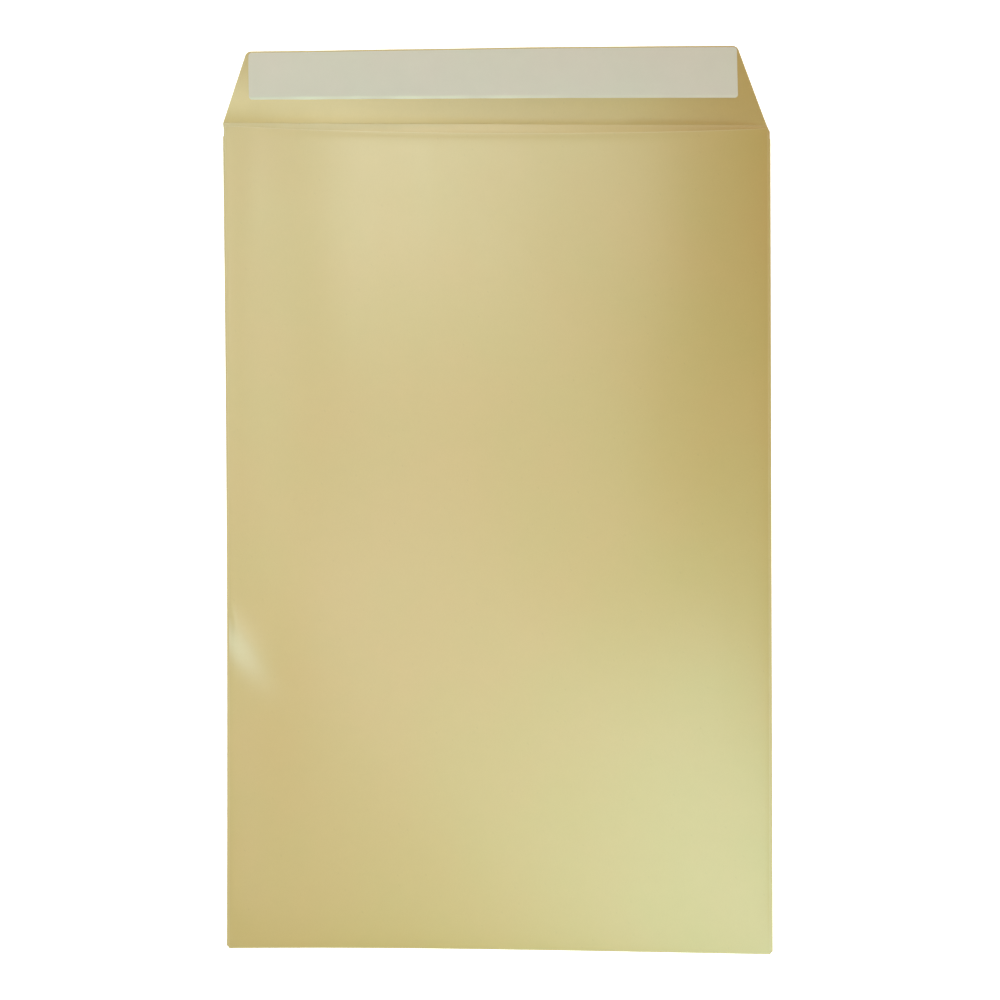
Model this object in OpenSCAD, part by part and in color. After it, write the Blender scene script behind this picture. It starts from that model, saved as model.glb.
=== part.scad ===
// Pocket envelope of kraft paper with a peel-and-seal flap on its short side.
// It lies on its front panel, with the back panel up and the flap open.
// X runs across the envelope, Y from the bottom fold to the flap, Z up.
// The origin is the middle of its footprint, on the surface that it lies on.

/* [Body] */
// Width across the two side folds
body_w = 254; // [200:1:300]
// Length from the bottom fold to the flap fold
body_l = 381; // [320:1:450]
// Thickness of the kraft paper
paper_t = 0.15; // [0.1:0.01:0.25]
// Inside radius of the pressed side folds
side_fold_r = 0.15; // [0.1:0.01:0.3]

/* [Side seams] */
// Width of each side flap, from its fold to its cut edge
side_flap_w = 20; // [16:1:30]
// Angle at which the ends of a side flap are cut back
side_flap_slant = 15; // [5:1:20]
// Distance from the bottom fold to the side flaps
side_flap_foot = 3; // [2:0.5:6]
// Distance from the flap fold to the side flaps
side_flap_head = 6; // [5:0.5:10]
// Distance from a side fold to the cut edge of the back panel
back_edge_inset = 1; // [0.5:0.1:2]
// Width of each line of seam gum
gum_w = 8; // [4:0.5:10]
// Thickness of the seam gum
gum_t = 0.04; // [0.02:0.01:0.08]
// Distance from the back panel's cut edge to the gum
gum_inset = 3; // [1:0.5:4]
// Distance from the ends of a side flap to the ends of the gum
gum_end = 10; // [9:0.5:15]

/* [Mouth] */
// Depth of the throat below the flap fold, in the middle
throat_depth = 3.5; // [3.5:0.1:12]
// Depth of the throat below the flap fold, at the corners
throat_corner = 1; // [0.5:0.1:3]
// How far the middle of the back panel stands up at the mouth
mouth_rise = 6.5; // [5:0.5:12]
// How flat-topped the open pocket is: a higher number keeps more of its width at full height
pocket_fullness = 6; // [2:1:10]
// Length over which the pocket opens, from the bottom fold up
belly_run = 170; // [100:5:300]

/* [Seal flap] */
// Height of the flap along its paper
flap_h = 37.5; // [30:0.5:50]
// How far each end of the flap's free edge lies inside the side fold
flap_top_inset = 14.5; // [8:0.5:25]
// How far each end of the flap's root lies inside the side fold
flap_root_inset = 1.6; // [1:0.1:3]
// Length of the small slope beside the flap's root
shoulder_drop = 2.7; // [1:0.1:4]
// Radius of the flap's two corners
flap_corner_r = 3; // [1:0.5:8]
// Angle at which the flap springs up, at its left end
flap_angle_left = 34; // [5:1:60]
// Angle at which the flap springs up, at its right end
flap_angle_right = 10; // [5:1:60]
// Share of that angle by which the flap curls back towards its free edge
flap_curl_share = 0.4; // [0:0.05:0.9]
// Length of paper over which the flap bends at its fold
flap_bend = 1.5; // [0.5:0.1:3]

/* [Peel-off strip] */
// Height of the strip
liner_h = 22.5; // [15:0.5:24]
// Distance from the strip to the flap's free edge
liner_margin = 1.5; // [1:0.5:5]
// How far each end of the strip lies inside the side fold
liner_end_inset = 14.6; // [14:0.1:30]
// Thickness of the strip
liner_t = 0.08; // [0.05:0.01:0.12]
// Radius of the strip's corners
liner_corner_r = 1.5; // [0.5:0.1:3]
// Width of the strip's lower edge that has no adhesive behind it
dry_edge = 2; // [1:0.1:4]
// How far that dry edge stands up from the flap
dry_edge_lift = 0.6; // [0.2:0.1:2]
// Margin between the adhesive and the strip's other three edges
adhesive_margin = 2; // [1:0.1:4]
// Thickness of the adhesive
adhesive_t = 0.05; // [0.03:0.01:0.1]

/* [Hidden] */

kraft = "#d2c190";
strip_white = "#cbc8b4";
gum_clear = "#d8d2b8";

// Steps round each fold, across the pocket, along the seams and across the strip
side_fold_steps = 6;
bottom_fold_steps = 8;
flap_bend_steps = 3;
corner_steps = 4;
middle_steps = 16;
length_steps = 13;
strip_steps = 4;

half_w = body_w / 2;
foot_y = -body_l / 2;
fold_y = body_l / 2;
back_half_w = half_w - back_edge_inset;

// A fold's outer radius is its inner one and the paper. The bottom fold spans one more layer, with its gum.
side_fold_out = side_fold_r + paper_t;
bottom_fold_r = side_fold_r + (paper_t + gum_t) / 2;
bottom_fold_out = bottom_fold_r + paper_t;

// Heights of the lower faces of the side flaps and of the back panel, before the pocket opens
side_flap_z = paper_t + 2 * side_fold_r;
back_z = paper_t + 2 * bottom_fold_r;

// Distances along the flap from its fold
liner_low = flap_h - liner_margin - liner_h;
liner_high = flap_h - liner_margin;
adhesive_low = liner_low + dry_edge;
adhesive_high = liner_high - adhesive_margin;
liner_half_w = half_w - liner_end_inset;

function lerp(a, b, t) = a + (b - a) * t;
// Numbers from a to b in n equal steps, with both ends
function steps(a, b, n) = [for (i = [0:n]) lerp(a, b, i / n)];
// The same without the first
function steps_after(a, b, n) = [for (i = [1:n]) lerp(a, b, i / n)];
function reversed(list) = [for (i = [len(list) - 1:-1:0]) list[i]];
function rest(list) = [for (i = [0:len(list) - 1]) if (i > 0) list[i]];
// One rising list of two rising lists, with each number once
function merged(a, b) =
    len(a) == 0 ? b
    : len(b) == 0 ? a
    : a[0] < b[0] ? concat([a[0]], merged(rest(a), b))
    : a[0] > b[0] ? concat([b[0]], merged(a, rest(b)))
    : merged(a, rest(b));

// The back panel stands up as a flat-topped pillow: nothing at the side folds and at the bottom fold,
// and the full rise in the middle of the mouth.
function pillow_across(x) = pow(1 - pow(min(1, abs(x) / back_half_w), pocket_fullness), 2);
function pillow_along(y) =
    let (q = min(1, max(0, (y - foot_y) / belly_run)))
    q * q * (3 - 2 * q);
function pillow(x, y) = mouth_rise * pillow_across(x) * pillow_along(y);

// The throat is a shallow curve, deepest in the middle.
function throat_y(x) =
    fold_y - lerp(throat_depth, throat_corner, pow(min(1, abs(x) / back_half_w), 2));

// How far an arc that starts at angle a, ends at angle b and has length l goes out and up
function arc_reach(a, b, l) =
    let (half = (b - a) / 2, chord = abs(half) < 0.001 ? l : l * sin(half) * 180 / (PI * half))
    [chord * cos((a + b) / 2), chord * sin((a + b) / 2)];

// The flap's section is two arcs: up to its lift angle at the fold, and then slowly back.
function flap_lift_angle(x) = lerp(flap_angle_left, flap_angle_right, (x + half_w) / body_w);
function flap_slope(x, v) =
    v < flap_bend
    ? flap_lift_angle(x) * v / flap_bend
    : flap_lift_angle(x) * (1 - flap_curl_share * (v - flap_bend) / (flap_h - flap_bend));
function flap_reach(x, v) =
    v < flap_bend
    ? arc_reach(0, flap_slope(x, v), v)
    : arc_reach(0, flap_lift_angle(x), flap_bend)
        + arc_reach(flap_lift_angle(x), flap_slope(x, v), v - flap_bend);
// A point of the flap at distance v from the fold and height h above its lower face
function flap_point(x, v, h) =
    let (reach = flap_reach(x, v), a = flap_slope(x, v))
    [x, fold_y + reach[0] - h * sin(a), reach[1] + h * cos(a)];

// Half the flap's width at distance v: straight sides that end in rounded corners
flap_root_half_w = half_w - flap_root_inset;
flap_side_slope = (flap_top_inset - flap_root_inset) / flap_h;
flap_side_angle = atan(flap_side_slope);
flap_round_v = flap_h - flap_corner_r;
flap_round_x = flap_root_half_w - flap_side_slope * flap_round_v - flap_corner_r / cos(flap_side_angle);
flap_tangent_v = flap_round_v + flap_corner_r * sin(flap_side_angle);
function flap_half_w(v) =
    v < flap_tangent_v
    ? flap_root_half_w - flap_side_slope * v
    : flap_round_x + sqrt(max(0, pow(flap_corner_r, 2) - pow(v - flap_round_v, 2)));

// The envelope's footprint is centred on the origin.
flap_far_y = fold_y + max(flap_reach(-flap_round_x, flap_h)[0], flap_reach(flap_round_x, flap_h)[0]);
centre_y = (foot_y + flap_far_y) / 2;

// Stations across one half of the seam, from the back panel's cut edge to the side flap's cut edge
gum_x_out = back_half_w - gum_inset;
gum_x_in = gum_x_out - gum_w;
side_flap_x = half_w - side_flap_w;
seam_xs = concat([back_half_w], steps(gum_x_out, gum_x_in, 2), steps_after(gum_x_in, side_flap_x, 2));
middle_xs = steps_after(-side_flap_x, 0, middle_steps / 2);
left_xs = concat([for (x = seam_xs) -x], middle_xs);
panel_xs = concat(left_xs, [for (x = reversed(left_xs)) if (x < 0) -x]);

// Stations along the seam, from the side flap's lower end to its upper end
seam_low = foot_y + side_flap_foot;
seam_high = fold_y - side_flap_head;
gum_low = seam_low + gum_end;
gum_high = seam_high - gum_end;
gum_ys = steps(gum_low, gum_high, length_steps);
seam_ys = concat([seam_low], gum_ys, [seam_high]);

// Distances of the flap's rows from its fold. Each edge of the strip and of its adhesive has a row.
strip_vs = steps(adhesive_low, adhesive_high, strip_steps);
corner_vs = [for (a = steps(0, 90, corner_steps)) lerp(flap_tangent_v, flap_h, sin(a))];
flap_vs = concat(
    steps_after(0, flap_bend, flap_bend_steps),
    [lerp(flap_bend, liner_low, 0.5)],
    merged(concat([liner_low], strip_vs, [liner_high]), corner_vs)
);

// The flat sheet is a grid. Its rows run from the throat down the back panel, round the bottom fold,
// up the front panel and out along the seal flap. A row is its zone and its station there.
sheet_rows = concat(
    [["throat", 0]],
    [for (y = reversed(seam_ys)) ["back", y]],
    [for (a = steps(180, 0, bottom_fold_steps)) ["bottom", a]],
    [for (y = seam_ys) ["front", y]],
    [["front", fold_y - shoulder_drop], ["flap", 0]],
    [for (v = flap_vs) ["flap", v]]
);
// Its columns run across the panels, and on over the side folds to the cut edges of the side flaps.
tuck_cols = concat(
    [for (a = steps_after(0, 180, side_fold_steps)) ["fold", a]],
    [for (x = seam_xs) ["tuck", x]]
);
sheet_cols = concat(
    [for (c = reversed(tuck_cols)) [c[0], c[1], -1]],
    [for (x = panel_xs) ["panel", x, sign(x)]],
    [for (c = tuck_cols) [c[0], c[1], 1]]
);
first_panel_col = len(tuck_cols);
last_panel_col = first_panel_col + len(panel_xs) - 1;
first_front_row = 1 + len(seam_ys) + bottom_fold_steps + 1;
last_front_row = first_front_row + len(seam_ys) - 1;

// A point of one of the panels at column x, on the outer face (side 0) or the inner face (side 1)
function panel_point(zone, s, x, side) =
    zone == "throat" ? [x, throat_y(x), back_z + pillow(x, throat_y(x)) + (1 - side) * paper_t]
    : zone == "back" ? [x, s, back_z + pillow(x, s) + (1 - side) * paper_t]
    : zone == "bottom" ? let (r = bottom_fold_out - side * paper_t)
        [x, foot_y + bottom_fold_out - r * sin(s), bottom_fold_out - r * cos(s)]
    : zone == "front" ? [front_x(x), s, side * paper_t]
    : flap_point(x * flap_half_w(s) / back_half_w, s, side * paper_t);
// The front panel reaches out to the side folds, where the back panel stops at its cut edges.
function front_x(x) = abs(x) < back_half_w ? x : sign(x) * (half_w - side_fold_out);

// The same for a side fold and a side flap, whose ends are cut back from the fold inwards
function seam_end_y(y, x) =
    let (back = (half_w - x) * tan(side_flap_slant))
    y == seam_low ? y + back : y == seam_high ? y - back : y;
function tuck_point(zone, s, hand, y, side) =
    zone == "fold"
    ? let (r = side_fold_out - side * paper_t)
        [hand * (half_w - side_fold_out + r * sin(s)), y, side_fold_out - r * cos(s)]
    : [hand * s, seam_end_y(y, s), side_flap_z + pillow(s, y) + (1 - side) * paper_t];

function sheet_point(row, col, side) =
    col[0] == "panel"
    ? panel_point(row[0], row[1], col[1], side)
    : tuck_point(col[0], col[1], col[2], row[0] == "front" ? row[1] : 0, side);

// Side flaps exist only beside the front panel.
function sheet_has(i, j) =
    (j >= first_panel_col && j < last_panel_col) || (i >= first_front_row && i < last_front_row);

// A closed solid from two faces of a thin sheet. Each face is a list of rows of points, has says which
// cells of the grid are there, and every open side of a cell gets a wall.
module thin_solid(outer, inner, has) {
    rows = len(outer);
    cols = len(outer[0]);
    points = [for (face = [outer, inner]) for (row = face) for (p = row) p];
    function at(side, i, j) = side * rows * cols + i * cols + j;
    function there(i, j) = i >= 0 && j >= 0 && i < rows - 1 && j < cols - 1 && has(i, j);
    function triangles(a, b, c, d) = [[a, b, c], [a, c, d]];
    function corner(side, cell, step) = at(side, cell[0] + step[0], cell[1] + step[1]);
    // A cell's corners in turn. Its side k lies between corners k and k + 1.
    corners = [[0, 0], [0, 1], [1, 1], [1, 0]];
    neighbours = [[-1, 0], [0, 1], [1, 0], [0, -1]];
    cells = [for (i = [0:rows - 2]) for (j = [0:cols - 2]) if (has(i, j)) [i, j]];
    skins = [
        for (cell = cells)
            let (o = [for (c = corners) corner(0, cell, c)], n = [for (c = corners) corner(1, cell, c)])
            for (f = concat(triangles(o[0], o[1], o[2], o[3]), triangles(n[0], n[3], n[2], n[1]))) f
    ];
    walls = [
        for (cell = cells) for (k = [0:3])
            let (beside = cell + neighbours[k])
            if (!there(beside[0], beside[1]))
            let (a = corners[(k + 1) % 4], b = corners[k])
            for (f = triangles(
                corner(0, cell, a), corner(0, cell, b), corner(1, cell, b), corner(1, cell, a)
            )) f
    ];
    translate([0, -centre_y, 0]) polyhedron(points, concat(skins, walls));
}

module envelope_sheet() {
    face = function (side) [for (row = sheet_rows) [for (col = sheet_cols) sheet_point(row, col, side)]];
    color(kraft) thin_solid(face(0), face(1), function (i, j) sheet_has(i, j));
}

// One line of gum, between the outer face of a side flap and the inner face of the back panel.
// Its rows run down from the mouth as the back panel's do, so that it meets both papers facet to facet.
module seam_gum(hand) {
    xs = hand > 0 ? steps(gum_x_in, gum_x_out, 2) : steps(-gum_x_out, -gum_x_in, 2);
    face = function (z) [for (y = reversed(gum_ys)) [for (x = xs) [x, y, z + pillow(x, y)]]];
    color(gum_clear) thin_solid(face(back_z), face(side_flap_z + paper_t), function (i, j) true);
}

// Stations across the strip or its adhesive, out to half width w
function strip_xs(w) = steps(-w, w, middle_steps);

module seal_adhesive() {
    xs = strip_xs(liner_half_w - adhesive_margin);
    face = function (h) [for (v = strip_vs) [for (x = xs) flap_point(x, v, h)]];
    color(gum_clear) thin_solid(face(paper_t), face(paper_t + adhesive_t), function (i, j) true);
}

// Half the strip's width at distance v, with rounded corners
function liner_half_w_at(v) =
    let (e = min(v - liner_low, liner_high - v), d = max(0, liner_corner_r - e))
    liner_half_w - liner_corner_r + sqrt(max(0, pow(liner_corner_r, 2) - d * d));

// Rounded ends of the strip's rows, as shares of the corner's radius
corner_shares = [for (a = steps(0, 90, corner_steps)) 1 - cos(a)];

module release_liner() {
    vs = concat(
        [for (s = corner_shares) liner_low + liner_corner_r * s],
        [for (v = strip_vs) if (v > liner_low + liner_corner_r && v < liner_high - liner_corner_r) v],
        [for (s = reversed(corner_shares)) liner_high - liner_corner_r * s]
    );
    base = paper_t + adhesive_t;
    // The dry edge curls away from the flap.
    curl = function (v) dry_edge_lift * pow(max(0, 1 - (v - liner_low) / dry_edge), 2);
    face = function (h) [
        for (v = vs) [for (x = strip_xs(liner_half_w_at(v))) flap_point(x, v, base + curl(v) + h)]
    ];
    color(strip_white) thin_solid(face(0), face(liner_t), function (i, j) true);
}

envelope_sheet();
seam_gum(-1);  // seam_gum_left
seam_gum(1);  // seam_gum_right
seal_adhesive();
release_liner();
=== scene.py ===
"""A pocket envelope of machine-glazed kraft paper, with its seal flap open and its peel-off strip in place.

The envelope is one die-cut sheet. Each of its panels, folds and flaps is a formula over the flat blank, so
the folded sheet is a single closed skin. Gum, adhesive and strip are made from the same formulas.
Lengths are metres. X runs across the envelope, Y from the bottom fold to the flap, and Z up.
"""

import math

import bpy
import numpy as np
from mathutils import Matrix, Vector


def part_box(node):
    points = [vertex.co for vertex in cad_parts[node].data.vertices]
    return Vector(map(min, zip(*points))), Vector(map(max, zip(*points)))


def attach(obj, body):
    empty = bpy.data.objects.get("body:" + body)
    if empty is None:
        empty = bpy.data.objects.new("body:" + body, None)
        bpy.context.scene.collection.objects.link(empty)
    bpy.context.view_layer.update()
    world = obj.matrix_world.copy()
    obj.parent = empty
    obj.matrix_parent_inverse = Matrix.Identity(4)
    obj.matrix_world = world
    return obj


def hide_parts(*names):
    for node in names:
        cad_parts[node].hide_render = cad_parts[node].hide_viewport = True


bl_info = {
    "name": "Kraft Pocket Envelope",
    "version": (1, 0, 0),
    "blender": (4, 5, 0),
    "location": "View3D > Sidebar > Envelope",
    "description": "Folds a kraft pocket envelope with a peel-and-seal flap, on a pale studio floor",
    "category": "Add Mesh",
}

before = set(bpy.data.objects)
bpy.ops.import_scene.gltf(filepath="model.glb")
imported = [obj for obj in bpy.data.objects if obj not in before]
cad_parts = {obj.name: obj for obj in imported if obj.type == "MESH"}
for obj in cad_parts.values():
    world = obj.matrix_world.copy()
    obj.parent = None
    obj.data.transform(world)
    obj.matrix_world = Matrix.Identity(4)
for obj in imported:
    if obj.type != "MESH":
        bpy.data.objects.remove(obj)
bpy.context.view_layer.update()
SHEET_LOW, SHEET_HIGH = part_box("envelope_sheet")
STRIP_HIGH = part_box("release_liner")[1]

MM = 0.001

# The vertex attributes that the materials read
FLAT_PLACE = "flat_place"
FOLD_GAP = "fold_gap"
EDGE_GAP = "edge_gap"
# Painted highlight: how far the paper is painted pale where the dent and the strip's dry edge catch light
PAINTED_HIGHLIGHT = "painted_highlight"
FAR_FROM_IT = 30 * MM

# The back panel's soft waves: share of their height, direction across and along, wavelength and phase.
# They and the ridge are rounded results of a least-squares fit to the photograph's tones.
SLACK_WAVES = (
    (1, 0.35, 1, 260 * MM, 0.05),
    (0.47, 1, -0.3, 250 * MM, -2.6),
    (0.27, 0.8, 0.6, 90 * MM, 3.0),
)
# Shares of the half width over which they are full and then fade, and how far up they reach full height
SLACK_HALF_W, SLACK_FADE, SLACK_FOOT = 0.45, 0.5, 60 * MM

# The faint slanting ridge: the direction that it runs down to the right, and its reach along and across
BUCKLE_RIGHT, BUCKLE_DOWN = 0.76, 0.64
BUCKLE_LENGTH, BUCKLE_WIDTH = 35 * MM, 9.5 * MM

# The dent: how steeply its top line slants, and how far in from the side fold it reaches
DENT_SLANT, DENT_REACH = 0.9, 14 * MM

# How far the panel springs up off its folds: at the foot, on the left, on the right and there at the mouth
SPRING_FOOT, SPRING_LEFT, SPRING_RIGHT, SPRING_MOUTH = 20 * MM, 5 * MM, 8 * MM, 11 * MM

# Length of the front panel that curves up at the flap fold
CREASE_RUN = 12 * MM

# How far rubbing pales folds and cut edges, and how much rougher it leaves them
FOLD_WEAR, EDGE_WEAR, WORN_ROUGHNESS = 0.1, 0.3, 0.2

# Share of the paper's cells that hold no dark speck, and a speck's size in its cell
SPECKLESS, SPECK_SIZE = 0.62, 0.14

# Soft lights: where their glare shows on the paper, their height over it, side, power and colour.
# Those whose names end in fill throw no shadow. All are results of such fits, and no measured set-up.
SOFT_LIGHTS = {
    "window_fill": ((-0.715, 0.187), 1.43, 0.20, 5.48, (0.868, 1.0, 0.906)),
    "throat_fill": ((-53 * MM, 208 * MM), 0.65, 0.17, 1.45, (0.828, 1.0, 0.912)),
    "warm_lamp": ((1.88, 2.59), 0.98, 0.46, 215.0, (1.0, 0.581, 0.389)),
    "foot_fill": ((172 * MM, -217 * MM), 0.35, 0.26, 0.86, (0.588, 1.0, 1.0)),
    "middle_fill": ((-55 * MM, -90 * MM), 0.35, 0.19, 0.28, (0.798, 0.744, 1.0)),
    "low_fill": ((-0.155, -2.46), 1.72, 0.20, 35.5, (0.926, 1.0, 0.823)),
}


# Settings that a user can change

def length(name, description, default):
    """A size in metres."""
    return bpy.props.FloatProperty(
        name=name, description=description, default=default, precision=5, unit="LENGTH"
    )


def millimetres(name, description, default):
    """A size, given in millimetres and kept in metres."""
    return length(name, description, default * MM)


def angle(name, description, degrees):
    """An angle, given in degrees and kept in radians."""
    return bpy.props.FloatProperty(
        name=name, description=description, default=math.radians(degrees), unit="ROTATION"
    )


def share(name, description, default):
    """A plain number, mostly from 0 to 1."""
    return bpy.props.FloatProperty(name=name, description=description, default=default, subtype="FACTOR")


def colour(name, description, default):
    """A linear RGB colour."""
    return bpy.props.FloatVectorProperty(
        name=name, description=description, default=default, size=3, min=0, max=1, subtype="COLOR"
    )


class EnvelopeBody(bpy.types.PropertyGroup):
    """Sizes of the pocket: its panels, folds and side seams."""

    width: length("Width", "Across the two side folds", SHEET_HIGH.x - SHEET_LOW.x)
    height: millimetres("Height", "From the bottom fold to the flap fold", 381)
    paper: millimetres("Paper", "Thickness of the kraft paper", 0.15)
    fold_radius: millimetres("Fold radius", "Inside radius of the pressed side folds", 0.15)
    seam_flap: millimetres("Side flap", "Width of each side flap", 20)
    seam_slant: angle("Side flap slant", "How far the ends of a side flap are cut back", 15)
    seam_foot: millimetres("Seam foot", "From the bottom fold to the side flaps", 1.2)
    seam_head: millimetres("Seam head", "From the flap fold to the side flaps", 6)
    back_inset: millimetres("Back inset", "From a side fold to the back panel's cut edge", 1)
    gum_width: millimetres("Gum width", "Width of each line of seam gum", 8)
    gum_thickness: millimetres("Gum thickness", "Thickness of the seam gum", 0.04)
    gum_inset: millimetres("Gum inset", "From the back panel's cut edge to the gum", 3)
    gum_end: millimetres("Gum end", "From the ends of a side flap to the ends of the gum", 10)
    throat_depth: millimetres("Throat depth", "Depth of the throat in the middle", 3.5)
    throat_corner: millimetres("Throat corner", "Depth of the throat at its corners", 1)
    mouth_rise: millimetres("Mouth rise", "How far the back panel stands up at the mouth", 6.5)
    fullness: bpy.props.FloatProperty(
        name="Fullness", description="How flat-topped the open pocket is", default=6
    )
    belly_run: millimetres("Belly run", "Length over which the pocket opens", 170)


class EnvelopeFlap(bpy.types.PropertyGroup):
    """Sizes of the seal flap, its adhesive and its peel-off strip."""

    height: millimetres("Height", "Height of the flap along its paper", 37.5)
    top_inset: millimetres("Top inset", "From a side fold to the end of the free edge", 14.5)
    root_inset: millimetres("Root inset", "From a side fold to the end of the flap's root", 1.6)
    root_left: millimetres("Left root", "How much further out the flap's root ends on the left", 1.6)
    shoulder: millimetres("Shoulder", "Length of the small slope beside the flap's root", 2.7)
    corner: millimetres("Corner", "Radius of the flap's two corners", 3)
    lift_left: angle("Left lift", "Angle at which the flap springs up at its left end", 33.6)
    lift_right: angle("Right lift", "Angle at which the flap springs up at its right end", 10)
    curl: share("Curl", "Share of the lift by which the flap curls back", 0.4)
    bend: millimetres("Bend", "Length of paper over which the flap bends at its fold", 0.6)
    strip_height: millimetres("Strip height", "Height of the peel-off strip", 23.6)
    strip_margin: millimetres("Strip margin", "From the strip to the flap's free edge", 0.6)
    strip_thickness: millimetres("Strip thickness", "Thickness of the peel-off strip", 0.08)
    strip_corner: millimetres("Strip corner", "Radius of the strip's corners", 1.5)
    strip_slant: millimetres("Strip slant", "How much further out its lower left corner lies", 1.3)
    dry_edge: millimetres("Dry edge", "Width of the strip's edge that has no adhesive behind it", 2)
    dry_lift: millimetres("Dry edge lift", "How far that edge stands up from the flap", 0.6)
    adhesive_margin: millimetres("Adhesive margin", "From the adhesive to the strip's other edges", 2)
    adhesive: millimetres("Adhesive", "Thickness of the adhesive", 0.05)


class EnvelopeHandling(bpy.types.PropertyGroup):
    """How far handling has drawn the paper out of its flat form, as fitted or set to the photograph."""

    slack: millimetres("Slack", "Height of the soft waves in the back panel", 0.38)
    buckle: millimetres("Buckle", "Height of the faint slanting ridge below the mouth", 0.14)
    buckle_x: millimetres("Buckle across", "Where its middle lies across the envelope", 11)
    buckle_down: millimetres("Buckle down", "How far its middle lies below the flap fold", 60)
    side_draw: millimetres("Side draw", "How far the left side fold is drawn in half-way up", 0.84)
    foot_bow: millimetres("Foot bow", "How far the bottom fold bows in", 0.83)
    flap_wave: millimetres("Flap wave", "Height of the waves in the flap's free edge", 0.25)
    throat_flare: millimetres("Throat flare", "How far the throat's cut edge turns up", 0.25)
    strip_ripple: millimetres("Strip ripple", "Height of the ripples in the peel-off strip", 0.05)
    crease_lift: millimetres("Crease lift", "How far the front panel stands up at the flap fold", 0.4)
    dent: millimetres("Dent", "Height of the small dent beside the left side fold", 0.7)
    dent_x: millimetres("Dent across", "Where the dent is highest across the envelope", -124)
    dent_up: millimetres("Dent up", "How far the top of the dent lies above the bottom fold", 151)
    foot_swell: millimetres("Foot swelling", "How far the back panel stands up off the bottom fold", 0.58)
    side_swell: millimetres("Side swelling", "How far it stands up off the side folds", 0.42)
    mouth_swell: millimetres("Mouth swelling", "How far it does so on the right at the mouth", 1.7)


class EnvelopeFinish(bpy.types.PropertyGroup):
    """Colours and gloss of the papers, gum and adhesive."""

    kraft: colour("Kraft", "Main colour of the glazed face", (0.517, 0.360, 0.112))
    kraft_warm: colour("Warm kraft", "Its warmer, pinker patches", (0.531, 0.356, 0.114))
    kraft_inside: colour("Kraft inside", "Colour of the inner face", (0.529, 0.364, 0.116))
    # Painted shade: the inner face turns to this darker tone towards its right side, where less light falls
    kraft_inside_shade: colour("Brown kraft", "Its browner colour towards its right side", (0.470, 0.280, 0.058))
    # Also the tone of the painted highlight on the dent, where it catches light
    cut_edge_and_highlight: colour("Cut edge", "Colour of the cut edges and of rubbed folds", (0.68, 0.58, 0.36))
    strip: colour("Strip", "Main colour of the peel-off strip", (0.630, 0.549, 0.449))
    strip_warm: colour("Warm strip", "Its warmer patches", (0.644, 0.536, 0.449))
    # Also the tone of the painted highlight along the curled dry edge, where it catches light
    strip_pale_and_highlight: colour("Pale strip", "Its loose edge, which has no adhesive behind it", (0.74, 0.75, 0.58))
    gum: colour("Gum", "Colour of the dried seam gum", (0.66, 0.58, 0.36))
    adhesive: colour("Adhesive", "Colour of the seal adhesive", (0.62, 0.56, 0.36))
    glaze: share("Glaze", "Roughness of the glazed face", 0.389)


class EnvelopeStage(bpy.types.PropertyGroup):
    """The floor, and where the camera stands, which was fitted to the photograph's outline."""

    floor_size: length("Floor", "Side of the floor", 40.0)
    floor_colour: colour("Floor colour", "Colour of the floor", (0.9, 0.9, 0.9))
    floor_glow: share("Floor glow", "Light that the floor gives by itself", 0.70)
    sky: share("Sky", "Strength of the even light from all round", 0.20)
    aim: bpy.props.FloatVectorProperty(
        name="Aim", description="The point that the camera looks at", default=(1.12 * MM, -0.71 * MM, 0)
    )
    distance: length("Distance", "From the camera to that point", 9.0)
    pitch: angle("Pitch", "Tilt of the camera away from straight down, about X", 4.45)
    roll: angle("Roll", "Tilt of the camera away from straight down, about Y", -8.5)
    turn: angle("Turn", "Turn of the picture", 0.222)
    frame_height: length("Frame height", "Height of the picture at the envelope", 1000 / 2177.2)


# Plain geometry

def lerp(a, b, t):
    """From a to b as t goes from 0 to 1."""
    return a + (b - a) * t


def smooth_step(t):
    """0 to 1 as t goes from 0 to 1, level at both ends: t squared times 3 - 2t."""
    t = np.clip(t, 0, 1)
    return t * t * (3 - 2 * t)


def hump(distance, reach):
    """A bell that is 1 at distance 0 and about a third at one reach: e to the minus squared ratio."""
    return np.exp(-((distance / reach) ** 2))


def spring(t):
    """0 at t = 0, steep there, 1 at t = 1 and slowly down again: t times e to the 1 - t."""
    return t * np.exp(1 - t)


def wave(distance, wavelength, phase=0.0):
    """A sine of the distance."""
    return np.sin(2 * np.pi * distance / wavelength + phase)


def arc_reach(start, end, run):
    """How far an arc of length run goes out and up, from the angle start to the angle end.

    Its chord is run * sin(half) / half, where half is half its turn, and points at the mean angle.
    """
    chord = run * np.sinc((end - start) / 2 / np.pi)
    mean = (start + end) / 2
    return chord * np.cos(mean), chord * np.sin(mean)


def points_of(x, y, z):
    """One array of points from three arrays that broadcast together."""
    return np.stack(np.broadcast_arrays(x, y, z), axis=-1)


def stations(*stretches):
    """Rising or falling stations in stretches of (start, end, steps), each end written once."""
    runs = [np.linspace(start, end, steps + 1)[1:] for start, end, steps in stretches]
    return np.concatenate([[stretches[0][0]], *runs])


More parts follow.
